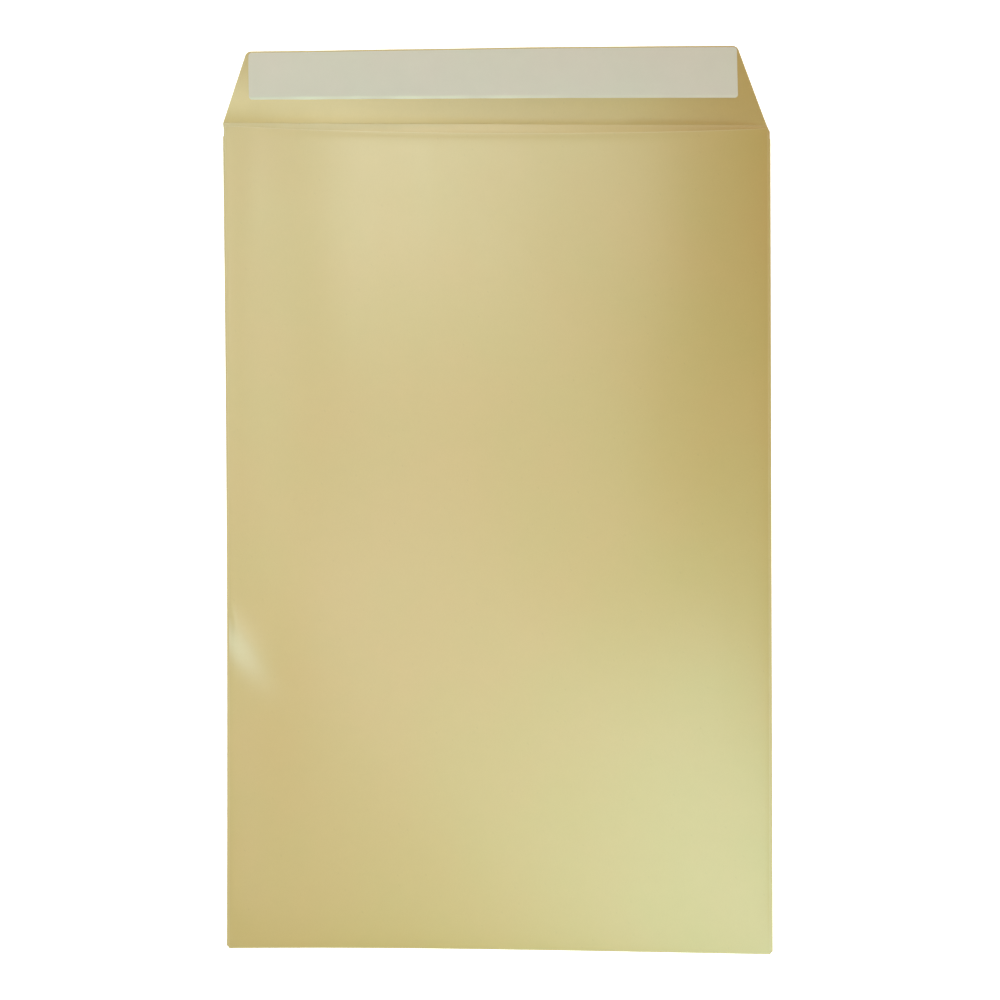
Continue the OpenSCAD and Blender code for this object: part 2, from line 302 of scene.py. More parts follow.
class FoldedSheet:
    """The envelope's surfaces as formulas, from the sizes in the scene."""

    def __init__(self, scene):
        body, flap = scene.envelope_body, scene.envelope_flap
        self.body, self.flap, self.handling = body, flap, scene.envelope_handling
        self.half_w = body.width / 2
        self.foot_y = SHEET_LOW.y
        self.fold_y = self.foot_y + body.height
        self.back_half_w = self.half_w - body.back_inset
        self.side_fold_out = body.fold_radius + body.paper
        self.bottom_fold_out = body.fold_radius + (body.paper + body.gum_thickness) / 2 + body.paper
        self.side_flap_z = body.paper + 2 * body.fold_radius
        self.back_z = 2 * self.bottom_fold_out - body.paper
        self.seam_low = self.foot_y + body.seam_foot
        self.seam_high = self.fold_y - body.seam_head
        self.side_flap_x = self.half_w - body.seam_flap
        self.gum_x_out = self.back_half_w - body.gum_inset
        self.gum_x_in = self.gum_x_out - body.gum_width
        self.strip_low = flap.height - flap.strip_margin - flap.strip_height
        self.strip_high = flap.height - flap.strip_margin
        self.strip_half_w = STRIP_HIGH.x
        self.side_slope = (flap.top_inset - flap.root_inset) / flap.height
        side_angle = math.atan(self.side_slope)
        self.round_v = flap.height - flap.corner
        self.tangent_v = self.round_v + flap.corner * math.sin(side_angle)
        round_edge = self.half_w - flap.root_inset - self.side_slope * self.round_v
        self.round_x = round_edge - flap.corner / math.cos(side_angle)

    def outward(self, x):
        """0 at the middle of the back panel and 1 at its cut edges and beyond."""
        return np.minimum(1, np.abs(x) / self.back_half_w)

    def along(self, y):
        """0 at the bottom fold and 1 at the flap fold."""
        return np.clip((y - self.foot_y) / self.body.height, 0, 1)

    def pillow(self, x, y):
        """The open pocket: flat-topped across, (1 - |x / w| ^ fullness) ^ 2, by a smooth step up."""
        across = (1 - self.outward(x) ** self.body.fullness) ** 2
        return self.body.mouth_rise * across * smooth_step((y - self.foot_y) / self.body.belly_run)

    def slack(self, x, y):
        """Soft waves of the loose panel: crossed sines that fade out at the side seams and at the foot."""
        inner = 1 - smooth_step((np.abs(x) - SLACK_HALF_W * self.half_w) / (SLACK_FADE * self.half_w))
        above = smooth_step((y - self.foot_y) / SLACK_FOOT)
        waves = sum(
            height * wave(right * x + up * y, wavelength, phase)
            for height, right, up, wavelength, phase in SLACK_WAVES
        )
        return self.handling.slack * inner * above * waves

    def buckle(self, x, y):
        """A faint ridge, 40 degrees down to the right: a long bell along it and a narrow one across."""
        right = x - self.handling.buckle_x
        up = y - (self.fold_y - self.handling.buckle_down)
        along = BUCKLE_RIGHT * right - BUCKLE_DOWN * up
        off = BUCKLE_DOWN * right + BUCKLE_RIGHT * up
        return self.handling.buckle * hump(along, BUCKLE_LENGTH) * hump(off, BUCKLE_WIDTH)

    def dent_place(self, x, y):
        """How far in from the dent's outer end a point lies, and how far above its slanting top line."""
        inward = x - self.handling.dent_x
        above = y - (self.foot_y + self.handling.dent_up) + DENT_SLANT * inward
        return np.maximum(0, inward), above

    def dent(self, x, y):
        """A small buckle at the side fold: a steep bell above its top line and a long one below."""
        inward, above = self.dent_place(x, y)
        steep = 5 * MM + 0.15 * inward
        gentle = np.maximum(4 * MM, 18 * MM - 0.6 * inward)
        ridge = hump(above, np.where(above > 0, steep, gentle))
        at_fold = smooth_step((x + self.back_half_w) / (4 * MM))
        return self.handling.dent * ridge * at_fold * hump(inward, DENT_REACH)

    def painted_highlight(self, x, y):
        """Painted highlight where the dent catches light, drawn as paler paper: a bell just below its top
        line.
        """
        inward, above = self.dent_place(x, y)
        return 0.78 * hump(above + 9 * MM, 10 * MM) * hump(inward, DENT_REACH)

    def swelling(self, x, y):
        """The panel springs up off its folds, on the right higher and further towards the mouth."""
        up = np.maximum(0, y - self.foot_y) / SPRING_FOOT
        to_mouth = np.where(x > 0, self.along(y) ** 1.5, 0)
        reach = np.where(x > 0, lerp(SPRING_RIGHT, SPRING_MOUTH, to_mouth), SPRING_LEFT)
        inward = np.maximum(0, self.back_half_w - np.abs(x)) / reach
        height = lerp(self.handling.side_swell, self.handling.mouth_swell, to_mouth)
        off_foot = self.handling.foot_swell * spring(up) * (1 - self.outward(x) ** 6)
        return off_foot + height * spring(inward) * smooth_step(up)

    def rise(self, x, y):
        """How far the back panel, with the side flaps under it, stands above its pressed height."""
        forms = (self.pillow, self.slack, self.buckle, self.dent, self.swelling)
        return sum(form(x, y) for form in forms)

    def throat_y(self, x):
        """The throat is a shallow parabola, deepest in the middle."""
        return self.fold_y - lerp(self.body.throat_depth, self.body.throat_corner, self.outward(x) ** 2)

    def flare(self, x, y):
        """The cut edge of the throat turns up a little, by a bell from the edge down."""
        middle = 1 - self.outward(x) ** 4
        return self.handling.throat_flare * middle * hump(self.throat_y(x) - y, 2.5 * MM)

    def crease_rise(self, x, y):
        """The front panel curves up towards the flap fold, from a little left of the middle to the right.

        Returns its height, which grows with the square of the distance, and its slope along Y.
        """
        u = np.clip(x / self.half_w, -1, 1)
        across = self.handling.crease_lift * smooth_step((u + 0.15) / 0.65) * (1 - np.abs(u) ** 12)
        near = np.clip((y - self.fold_y) / CREASE_RUN + 1, 0, 1)
        return across * near**2, across * 2 * near / CREASE_RUN

    def flap_lift(self, x):
        """The lift angle changes evenly from the left end to the right end."""
        return lerp(self.flap.lift_left, self.flap.lift_right, (x + self.half_w) / self.body.width)

    def flap_point(self, x, v, h):
        """A point of the flap, at distance v from its fold and height h above its lower face.

        Its section is an arc up to the lift angle over the bend, and then a long arc that turns slowly back.
        """
        bend, lift = self.flap.bend, self.flap_lift(x)
        root_z, root_slope = self.crease_rise(x, self.fold_y)
        beyond = np.maximum(0, v - bend)
        curled = lift * (1 - self.flap.curl * beyond / (self.flap.height - bend))
        slope = np.where(v < bend, lerp(root_slope, lift, v / bend), curled)
        near = np.minimum(v, bend)
        out_near, up_near = arc_reach(root_slope, lerp(root_slope, lift, near / bend), near)
        out_far, up_far = arc_reach(lift, np.where(v < bend, lift, slope), beyond)
        above = h + self.flap_wave(x, v)
        y = self.fold_y + out_near + out_far - above * np.sin(slope)
        return points_of(x, y, root_z + up_near + up_far + above * np.cos(slope))

    def flap_wave(self, x, v):
        """Two long sines across the flap, growing with the square of the distance from the fold."""
        across = wave(x, 150 * MM, 3.4) + 0.5 * wave(x, 67 * MM, 3.1)
        return self.handling.flap_wave * (v / self.flap.height) ** 2 * (across - 1.5)

    def flap_half_w(self, v):
        """Half the flap's width: straight slanted sides that end in round corners."""
        straight = self.half_w - self.flap.root_inset - self.side_slope * v
        rounding = np.sqrt(np.maximum(0, self.flap.corner**2 - (v - self.round_v) ** 2))
        return np.where(v < self.tangent_v, straight, self.round_x + rounding)

    def settle(self, points):
        """Draws the whole pocket in: its left side fold by a sine, and its bottom fold by a parabola."""
        x, y = points[..., 0], points[..., 1]
        u = x / self.half_w
        draw = self.handling.side_draw * np.sin(np.pi * self.along(y)) * np.minimum(0, u) ** 3
        bow = self.handling.foot_bow * np.maximum(0, 1 - u**2) * (1 - 0.56 * u)
        return points + points_of(-draw, bow * (1 - smooth_step(3 * self.along(y))), 0)


class SheetGrid:
    """The grid of points over the folded sheet: each is a formula of its row's and its column's station.

    Rows run from the throat down the back panel, round the bottom fold, up the front panel and out along the
    seal flap. Columns run across, and beside the front panel on over the side folds to the side flaps.
    """

    def __init__(self, sheet):
        self.sheet = sheet
        gum_low = sheet.seam_low + sheet.body.gum_end
        gum_high = sheet.seam_high - sheet.body.gum_end
        self.seam = stations(
            (sheet.back_half_w, sheet.gum_x_out, 3),
            (sheet.gum_x_out, sheet.gum_x_in, 4),
            (sheet.gum_x_in, sheet.side_flap_x, 5),
        )
        inner = stations((sheet.side_flap_x, -sheet.side_flap_x, 72))[1:-1]
        self.across = np.concatenate([-self.seam, inner[::-1], self.seam[::-1]])
        self.up = stations(
            (sheet.seam_low, gum_low, 5), (gum_low, gum_high, 112), (gum_high, sheet.seam_high, 5)
        )
        self.turns = np.linspace(0, np.pi, 15)[1:]
        self.tuck_count = len(self.turns) + len(self.seam)
        self.panels = slice(self.tuck_count, self.tuck_count + len(self.across))
        self.rows = self.zones()
        self.is_front = np.array([zone == "front" for zone, _ in self.rows])
        self.shape = len(self.rows), 2 * self.tuck_count + len(self.across)

    def zones(self):
        """The rows as (zone, station) pairs, from the throat round to the flap's free edge."""
        sheet, flap = self.sheet, self.sheet.flap
        below_corner = stations(
            (0, flap.bend, 6),
            (flap.bend, sheet.strip_low, 12),
            (sheet.strip_low, sheet.strip_high, 16),
            (sheet.strip_high, sheet.tangent_v, 3),
        )
        corner = lerp(sheet.tangent_v, flap.height, np.sin(np.linspace(0, np.pi / 2, 9)[1:]))
        stretches = {
            "throat": (1, 0.85, 0.7, 0.5, 0.25),
            "back": self.up[::-1],
            "bottom": np.linspace(np.pi, 0, 17),
            "front": self.up,
            "shoulder": (sheet.fold_y - flap.shoulder,),
            "flap": (*below_corner, *corner),
        }
        return [(zone, s) for zone, places in stretches.items() for s in places]

    def back_y(self, zone, s):
        """Y along a row of the back panel. The rows of the throat turn from straight into its parabola."""
        throat = self.sheet.throat_y(self.across)
        return lerp(self.sheet.seam_high, throat, s) if zone == "throat" else s + 0 * self.across

    def present(self):
        """Which cells of the grid are paper: those of the panels, and all of those beside the front panel."""
        paper = np.zeros((self.shape[0] - 1, self.shape[1] - 1), bool)
        paper[:, self.panels.start:self.panels.stop - 1] = True
        paper[self.is_front[:-1] & self.is_front[1:]] = True
        return paper

    def panel_row(self, zone, s, side):
        """One row of points across the panels, on the outer face (side 0) or the inner one (side 1)."""
        sheet, across, paper = self.sheet, self.across, self.sheet.body.paper
        if zone in ("throat", "back"):
            y = self.back_y(zone, s)
            rise = sheet.rise(across, y) + sheet.flare(across, y)
            return points_of(across, y, sheet.back_z + rise + (1 - side) * paper)
        if zone == "bottom":
            r = sheet.bottom_fold_out - side * paper
            y = sheet.foot_y + sheet.bottom_fold_out - r * math.sin(s)
            return points_of(across, y, sheet.bottom_fold_out - r * math.cos(s))
        if zone == "flap":
            u = across / sheet.back_half_w
            left = sheet.flap.root_left * (1 - 0.5 * s / sheet.flap.height) * np.minimum(0, u) ** 3
            return sheet.flap_point(u * sheet.flap_half_w(s) + left, s, side * paper)
        fold_x = np.sign(across) * (sheet.half_w - sheet.side_fold_out)
        x = np.where(np.abs(across) < sheet.back_half_w, across, fold_x)
        return points_of(x, s, side * paper + sheet.crease_rise(x, s)[0])

    def tuck_columns(self, side, hand):
        """The columns round a side fold, half a turn, and on along its side flap, whose ends are cut back."""
        sheet, y = self.sheet, self.up[:, None]
        r = sheet.side_fold_out - side * sheet.body.paper
        fold_x = hand * (sheet.half_w - sheet.side_fold_out + r * np.sin(self.turns))
        fold = points_of(fold_x, y, sheet.side_fold_out - r * np.cos(self.turns))
        ends = np.zeros_like(y)
        ends[0], ends[-1] = 1, -1
        tuck_y = y + ends * (sheet.half_w - self.seam) * math.tan(sheet.body.seam_slant)
        x = hand * self.seam
        z = sheet.side_flap_z + sheet.rise(x, tuck_y) + (1 - side) * sheet.body.paper
        return np.concatenate([fold, points_of(x, tuck_y, z)], axis=1)

    def face(self, side):
        """All the points of the outer face (side 0) or the inner one (side 1)."""
        points = np.zeros((*self.shape, 3))
        for i, (zone, s) in enumerate(self.rows):
            points[i, self.panels] = self.panel_row(zone, s, side)
        points[self.is_front, :self.tuck_count] = self.tuck_columns(side, -1)[:, ::-1]
        points[self.is_front, -self.tuck_count:] = self.tuck_columns(side, 1)
        return self.sheet.settle(points)

    def marks(self):
        """Each point's place on the flat blank, its gaps to the nearest fold and cut edge, and its painted
        highlight.

        On the flat blank a point keeps its distance along the paper: the bottom fold's middle is at height 0,
        the back panel lies below it and the front panel and the flap above.
        """
        sheet, across, turns, seam = self.sheet, self.across, self.turns, self.seam
        middle = sheet.body.paper / 2
        arc = np.pi * (sheet.bottom_fold_out - middle) / 2
        straight = sheet.foot_y + sheet.bottom_fold_out
        side_arc = sheet.side_fold_out - middle
        flat_half_w = sheet.half_w - sheet.side_fold_out
        fold_u = flat_half_w + side_arc * turns
        beyond_u = np.concatenate([fold_u, fold_u[-1] + flat_half_w - seam])
        tuck_fold = np.concatenate([side_arc * np.abs(turns - np.pi / 2), np.maximum(0, sheet.half_w - seam)])
        tuck_edge = np.concatenate([np.full(len(turns), FAR_FROM_IT), seam - sheet.side_flap_x])

        place = np.zeros((*self.shape, 3))
        fold_gap, edge_gap, painted_highlight = np.zeros((3, *self.shape))
        for i, (zone, s) in enumerate(self.rows):
            u, inset = across, sheet.back_half_w - np.abs(across)
            if zone in ("throat", "back"):
                y = self.back_y(zone, s)
                v, fold = straight - y - arc, y - sheet.foot_y
                edge = np.minimum(inset, sheet.throat_y(across) - y)
                painted_highlight[i, self.panels] = sheet.painted_highlight(across, y)
            elif zone == "bottom":
                v, fold, edge = arc * (1 - 2 * s / np.pi), 0 * across, inset
            elif zone == "flap":
                u = across * sheet.flap_half_w(s) / sheet.back_half_w
                v, fold = sheet.fold_y - straight + arc + s, s + 0 * across
                edge = np.minimum(sheet.flap_half_w(s) - np.abs(u), sheet.flap.height - s)
            else:
                v = arc + s - straight
                to_ends = min(s - sheet.foot_y, sheet.fold_y - s)
                fold = np.minimum(to_ends, sheet.half_w - np.abs(across))
                edge = np.full(len(across), FAR_FROM_IT)
            u = np.concatenate([-beyond_u[::-1], u, beyond_u])
            v = np.pad(v + 0 * across, self.tuck_count, "edge")
            place[i] = points_of(u, v, 0)
            fold_gap[i] = np.concatenate([tuck_fold[::-1], fold, tuck_fold])
            edge_gap[i] = np.concatenate([tuck_edge[::-1], edge, tuck_edge])
        return place, fold_gap, edge_gap, painted_highlight


def strip_faces(sheet):
    """The strip's lower and upper face as grids of points, and how pale each point is painted
    as a highlight, where the curled dry edge catches light.

    Its ends are straight with round corners, and the left one slants. It ripples between its long edges. Its
    dry edge curls up with the square of the distance, unevenly, and less on the right.
    """
    flap, corner = sheet.flap, sheet.flap.strip_corner
    quarter = corner * (1 - np.cos(np.linspace(0, np.pi / 2, 9)))
    low, high = sheet.strip_low, sheet.strip_high
    straight = stations((low + corner, high - corner, 36))[1:-1]
    v = np.concatenate([low + quarter, straight, high - quarter[::-1]])[:, None]
    inset = np.maximum(0, corner - np.minimum(v - low, high - v))
    half_w = sheet.strip_half_w - corner + np.sqrt(np.maximum(0, corner**2 - inset**2))
    u = np.linspace(-1, 1, 401)
    up = (v - low) / flap.strip_height
    x = half_w * u + flap.strip_slant * (1 - up) * np.minimum(0, u) ** 3
    dry = np.maximum(0, 1 - (v - low) / flap.dry_edge) ** 2
    uneven = 0.7 + 0.3 * wave(x, 83 * MM, 1.9) * wave(x, 31 * MM)
    uneven = uneven * lerp(1, 0.35, smooth_step((x + 10 * MM) / (50 * MM)))
    ripple = 0.5 + 0.5 * wave(x + 0.2 * v, 23 * MM, 2 * np.sin(x / (40 * MM)))
    ripple = sheet.handling.strip_ripple * ripple * np.sin(np.pi * up)
    h = sheet.body.paper + flap.adhesive + ripple + flap.dry_lift * dry * uneven
    lower = sheet.flap_point(x, v, h)
    upper = sheet.flap_point(x, v, h + flap.strip_thickness)
    # The paling follows the curl: a painted highlight where the raised dry edge catches light
    return lower, upper, 0.8 * smooth_step(4 * dry) * uneven


# Meshes

def thin_solid(present):
    """A closed skin of quads from two grids of points, the outer one's numbers first.

    Each present cell gives one outward quad on each grid, and each side of it that has no present neighbour
    gives a wall between the two. Returns the points' numbers in each quad and the quad's material: 0 for
    the outer face, 1 for the inner face and 2 for the cut edge.
    """
    rows, cols = present.shape[0] + 1, present.shape[1] + 1
    number = np.arange(rows * cols).reshape(rows, cols)
    corners = [number[:-1, :-1], number[:-1, 1:], number[1:, 1:], number[1:, :-1]]
    inside = number.size
    quads = [np.stack([c[present] for c in corners[::-1]], axis=1)]
    quads.append(np.stack([c[present] + inside for c in corners], axis=1))
    padded = np.pad(present, 1)
    neighbours = [padded[:-2, 1:-1], padded[1:-1, 2:], padded[2:, 1:-1], padded[1:-1, :-2]]
    for k, neighbour in enumerate(neighbours):
        open_side = present & ~neighbour
        a, b = corners[(k + 1) % 4][open_side], corners[k][open_side]
        quads.append(np.stack([a + inside, b + inside, b, a], axis=1))
    kinds = [np.full(len(q), min(n, 2)) for n, q in enumerate(quads)]
    return np.concatenate(quads), np.concatenate(kinds)


def thin_mesh(name, outer, inner, present, marks):
    """A mesh of a thin sheet, with its marks as vertex attributes and its cut edges sharp."""
    quads, kinds = thin_solid(present)
    used, numbers = np.unique(quads, return_inverse=True)
    points = np.concatenate([outer.reshape(-1, 3), inner.reshape(-1, 3)])[used]
    numbers = numbers.astype(np.int32).ravel()
    mesh = bpy.data.meshes.new(name)
    mesh.vertices.add(len(points))
    mesh.vertices.foreach_set("co", points.astype(np.float32).ravel())
    mesh.loops.add(len(numbers))
    mesh.loops.foreach_set("vertex_index", numbers)
    mesh.polygons.add(len(quads))
    mesh.polygons.foreach_set("loop_start", np.arange(0, len(numbers), 4, dtype=np.int32))
    mesh.polygons.foreach_set("material_index", kinds.astype(np.int32))
    mesh.polygons.foreach_set("use_smooth", np.ones(len(quads), bool))
    mesh.update(calc_edges=True)
    mesh.set_sharp_from_angle(angle=math.radians(50))
    for label, mark in zip((FLAT_PLACE, FOLD_GAP, EDGE_GAP, PAINTED_HIGHLIGHT), marks):
        kind, field = ("FLOAT_VECTOR", "vector") if label == FLAT_PLACE else ("FLOAT", "value")
        both = np.concatenate([mark.reshape(-1, *mark.shape[2:])] * 2)[used]
        mesh.attributes.new(label, kind, "POINT").data.foreach_set(field, both.ravel())
    if mesh.validate(verbose=False):
        raise RuntimeError(f"{name} has faces that don't close")
    return mesh


def film_mesh(name, lower, upper, painted_highlight=0):
    """A mesh of a whole rectangular grid of film, whose flat place is its own X and Y."""
    present = np.ones((lower.shape[0] - 1, lower.shape[1] - 1), bool)
    rows = np.arange(lower.shape[0])[:, None]
    step = np.linalg.norm(np.diff(lower, axis=0), axis=-1).mean()
    edge_gap = np.minimum(rows, rows[::-1]) * step + 0 * lower[..., 0]
    far = np.full(edge_gap.shape, FAR_FROM_IT)
    mesh = thin_mesh(name, lower, upper, present, (lower * (1, 1, 0), far, edge_gap, painted_highlight + 0 * far))
    mesh.polygons.foreach_set("material_index", np.zeros(len(mesh.polygons), np.int32))
    return mesh


def place(context, name, data):
    """Puts an object with its data into the scene."""
    made = bpy.data.objects.new(name, data)
    context.scene.collection.objects.link(made)
    return made


def add_piece(context, name, mesh, materials, slot, *nodes):
    """Puts a finished mesh into the scene, in place of its nodes, and says what it rides on."""
    for material in materials:
        mesh.materials.append(material)
    piece = place(context, name, mesh)
    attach(piece, "root")
    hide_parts(*nodes)


# Shader nodes

def feed(tree, socket, value):
    """Wires a socket to another, or sets it to a plain value."""
    if isinstance(value, bpy.types.NodeSocket):
        tree.links.new(value, socket)
    else:
        socket.default_value = value


def add_node(tree, kind, inputs=None, **settings):
    """Adds a node with its settings, and feeds its named inputs."""
    made = tree.nodes.new(kind)
    for name, value in settings.items():
        setattr(made, name, value)
    for name, value in (inputs or {}).items():
        feed(tree, made.inputs[name], value)
    return made


def maths(tree, operation, a, b=0.0, clamp=False):
    """One Math node, by its output."""
    return add_node(tree, "ShaderNodeMath", {0: a, 1: b}, operation=operation, use_clamp=clamp).outputs[0]


def times(tree, a, b):
    """The product of two values."""
    return maths(tree, "MULTIPLY", a, b)


def attribute(tree, name, kind="Fac"):
    """A vertex attribute, as a value or as a vector."""
    return add_node(tree, "ShaderNodeAttribute", attribute_name=name).outputs[kind]


def noise(tree, vector, scale, detail=2.0, roughness=0.5):
    """One Noise Texture node, by its grey output, which is about 0.5 on average."""
    inputs = {"Vector": vector, "Scale": scale, "Detail": detail, "Roughness": roughness}
    return add_node(tree, "ShaderNodeTexNoise", inputs).outputs["Fac"]


def stretched(tree, vector, scale, degrees=0.0):
    """A vector that is turned about Z, and then scaled along each axis."""
    turn = {"Vector": vector, "Rotation": (0, 0, math.radians(degrees))}
    turned = add_node(tree, "ShaderNodeMapping", turn, vector_type="POINT").outputs[0]
    return add_node(tree, "ShaderNodeVectorMath", {0: turned, 1: scale}, operation="MULTIPLY").outputs[0]


def swing(tree, value, depth):
    """A grey value of average 0.5, made to swing by depth either way round 0."""
    return times(tree, maths(tree, "SUBTRACT", value, 0.5), times(tree, depth, 2.0))


def smooth_ramp(tree, value, start, end, first=0.0, last=1.0):
    """From the first value at start to the last one at end, level at both ends."""
    inputs = {"Value": value, "From Min": start, "From Max": end, "To Min": first, "To Max": last}
    return add_node(tree, "ShaderNodeMapRange", inputs, interpolation_type="SMOOTHSTEP").outputs["Result"]


def mix_colour(tree, factor, a, b, blend="MIX"):
    """One Mix node for colours, by its output."""
    mix = add_node(tree, "ShaderNodeMix", data_type="RGBA", blend_type=blend, clamp_factor=True)
    for socket, value in zip((mix.inputs[0], mix.inputs[6], mix.inputs[7]), (factor, a, b)):
        feed(tree, socket, value)
    return mix.outputs[2]


def new_group(name, inputs, outputs):
    """An empty node group with named sockets, with its input and output nodes."""
    tree = bpy.data.node_groups.new(name, "ShaderNodeTree")
    for label, default in inputs.items():
        kind = "NodeSocketVector" if default is None else "NodeSocketFloat"
        socket = tree.interface.new_socket(name=label, in_out="INPUT", socket_type=kind)
        if default is not None:
            socket.default_value = default
    for label in outputs:
        tree.interface.new_socket(name=label, in_out="OUTPUT", socket_type="NodeSocketFloat")
    return tree, tree.nodes.new("NodeGroupInput").outputs, tree.nodes.new("NodeGroupOutput").inputs


def paper_formation():
    """Node group: how fibres and filler lie in a sheet of paper.

    Tone swings round 1 with clouds, fibres and dark specks. Warmth is a slow change of hue, from 0 to 1.
    Height is the relief of the fibres, in metres.
    """
    tree, given, out = new_group(
        "Paper formation",
        {"Vector": None, "Cloud Size": 0.007, "Cloud Depth": 0.02, "Fibre Depth": 0.04,
         "Speck Depth": 0.12, "Relief": 1.5e-5},
        ("Tone", "Warmth", "Height"),
    )
    at = given["Vector"]
    clouds = noise(tree, at, maths(tree, "DIVIDE", 1.0, given["Cloud Size"]), 3.0, 0.6)
    lengthwise = noise(tree, stretched(tree, at, (2400, 380, 1), 14), 1.0, 2.0, 0.6)
    crosswise = noise(tree, stretched(tree, at, (2100, 460, 1), -22), 1.0, 2.0, 0.6)
    fibres = times(tree, maths(tree, "ADD", lengthwise, crosswise), 0.5)
    cell_at = {"Vector": stretched(tree, at, (420, 150, 1), 31), "Scale": 1.0}
    cells = add_node(tree, "ShaderNodeTexVoronoi", cell_at, feature="F1").outputs
    chosen = maths(tree, "GREATER_THAN", cells["Color"], SPECKLESS)
    specks = times(tree, smooth_ramp(tree, cells["Distance"], 0.0, SPECK_SIZE, 1.0, 0.0), chosen)
    tone = maths(tree, "ADD", 1.0, swing(tree, clouds, given["Cloud Depth"]))
    tone = maths(tree, "ADD", tone, swing(tree, fibres, given["Fibre Depth"]))
    feed(tree, out["Tone"], maths(tree, "SUBTRACT", tone, times(tree, specks, given["Speck Depth"])))
    hue = noise(tree, at, 26.0, 2.0, 0.5)
    feed(tree, out["Warmth"], maths(tree, "ADD", 0.5, swing(tree, hue, 1.6), clamp=True))
    feed(tree, out["Height"], times(tree, maths(tree, "SUBTRACT", fibres, 0.5), given["Relief"]))
    return tree


def rubbed_folds():
    """Node group: where folds and cut edges have been rubbed. Its masks are 1 on the line and fade out."""
    tree, given, out = new_group(
        "Rubbed folds",
        {"Vector": None, "Fold Gap": 0.01, "Edge Gap": 0.01, "Fold Reach": 0.0012, "Edge Reach": 0.0007},
        ("Fold", "Edge"),
    )
    uneven = maths(tree, "ADD", 0.45, noise(tree, given["Vector"], 260.0, 3.0, 0.6))
    for line in ("Fold", "Edge"):
        fade = smooth_ramp(tree, given[f"{line} Gap"], 0.0, given[f"{line} Reach"], 1.0, 0.0)
        feed(tree, out[line], maths(tree, "MULTIPLY", fade, uneven, clamp=True))
    return tree


def glazing():
    """Node group: the roughness of a calendered face, with streaks along the machine and dull blotches."""
    tree, given, out = new_group(
        "Glazing",
        {"Vector": None, "Roughness": 0.4, "Streak Depth": 0.06, "Blotch Depth": 0.06},
        ("Roughness", "Height"),
    )
    at = given["Vector"]
    streaks = noise(tree, stretched(tree, at, (95, 5, 1)), 1.0, 3.0, 0.55)
    blotches = noise(tree, at, 34.0, 3.0, 0.55)
    streaked = swing(tree, streaks, given["Streak Depth"])
    change = maths(tree, "ADD", streaked, swing(tree, blotches, given["Blotch Depth"]))
    feed(tree, out["Roughness"], times(tree, given["Roughness"], maths(tree, "ADD", 1.0, change)))
    feed(tree, out["Height"], times(tree, maths(tree, "SUBTRACT", streaks, 0.5), 2.0e-5))
    return tree


GROUPS = {"Paper formation": paper_formation, "Rubbed folds": rubbed_folds, "Glazing": glazing}


def group_node(tree, name, inputs):
    """Places a shared node group in a material with its own values. The first use builds the group."""
    group = bpy.data.node_groups.get(name) or GROUPS[name]()
    return add_node(tree, "ShaderNodeGroup", inputs, node_tree=group).outputs


# Materials

def rgba(value):
    """A colour with full alpha."""
    return (*value, 1.0)


def new_material(name):
    """A material with its node tree and its Principled BSDF."""
    material = bpy.data.materials.new(name)
    material.use_nodes = True
    return material, material.node_tree, material.node_tree.nodes["Principled BSDF"]


def roughen(tree, bsdf, height, strength):
    """Bumps a surface by a height in metres."""
    bump = add_node(tree, "ShaderNodeBump", {"Height": height, "Distance": 1.0, "Strength": strength})
    feed(tree, bsdf.inputs["Normal"], bump.outputs["Normal"])


def paper_material(name, colours, formation, glaze, rub, shader, turned=None):
    """A paper: two tones that change slowly, fibres, rubbed folds and edges, painted highlights
    and a calendered gloss.

    colours are the two tones and a pale one, that of rubbed paper and of the painted highlights. formation,
    glaze and rub give the values of the three shared groups, and shader the constants of the Principled BSDF.
    turned is a stretch of X, along which the first tone turns into the second, as painted shade.
    """
    material, tree, bsdf = new_material(name)
    # rubbed is the pale tone of rubbed folds and cut edges, and also that of the painted highlights
    main, second, rubbed = (rgba(value) for value in colours)
    at = attribute(tree, FLAT_PLACE, "Vector")
    gaps = {"Fold Gap": attribute(tree, FOLD_GAP), "Edge Gap": attribute(tree, EDGE_GAP)}
    sheet = group_node(tree, "Paper formation", {"Vector": at, **formation})
    wear = group_node(tree, "Rubbed folds", {"Vector": at, **gaps, **rub})
    gloss = group_node(tree, "Glazing", {"Vector": at, **glaze})
    warmth_and_shade = sheet["Warmth"]
    # For the inner face, turned swaps the slow warm patches for painted shade, darker towards its right side
    if turned:
        across = add_node(tree, "ShaderNodeSeparateXYZ", {"Vector": at}).outputs["X"]
        warmth_and_shade = smooth_ramp(tree, across, *turned)
    toned = mix_colour(tree, 1.0, mix_colour(tree, warmth_and_shade, main, second), sheet["Tone"], "MULTIPLY")
    fold_wear, edge_wear = times(tree, wear["Fold"], FOLD_WEAR), times(tree, wear["Edge"], EDGE_WEAR)
    wear_and_highlight = maths(tree, "MAXIMUM", fold_wear, edge_wear)
    # The painted highlights: a mask that pales the paper where the dent and the strip's dry edge catch light
    wear_and_highlight = maths(tree, "MAXIMUM", wear_and_highlight, attribute(tree, PAINTED_HIGHLIGHT))
    feed(tree, bsdf.inputs["Base Color"], mix_colour(tree, wear_and_highlight, toned, rubbed))
    rougher = maths(tree, "ADD", gloss["Roughness"], times(tree, wear_and_highlight, WORN_ROUGHNESS), clamp=True)
    feed(tree, bsdf.inputs["Roughness"], rougher)
    roughen(tree, bsdf, maths(tree, "ADD", sheet["Height"], gloss["Height"]), 0.6)
    for socket, value in shader.items():
        bsdf.inputs[socket].default_value = value
    return material


GLAZED = {"Specular IOR Level": 0.794, "Coat Weight": 0.268, "Coat Roughness": 0.353}


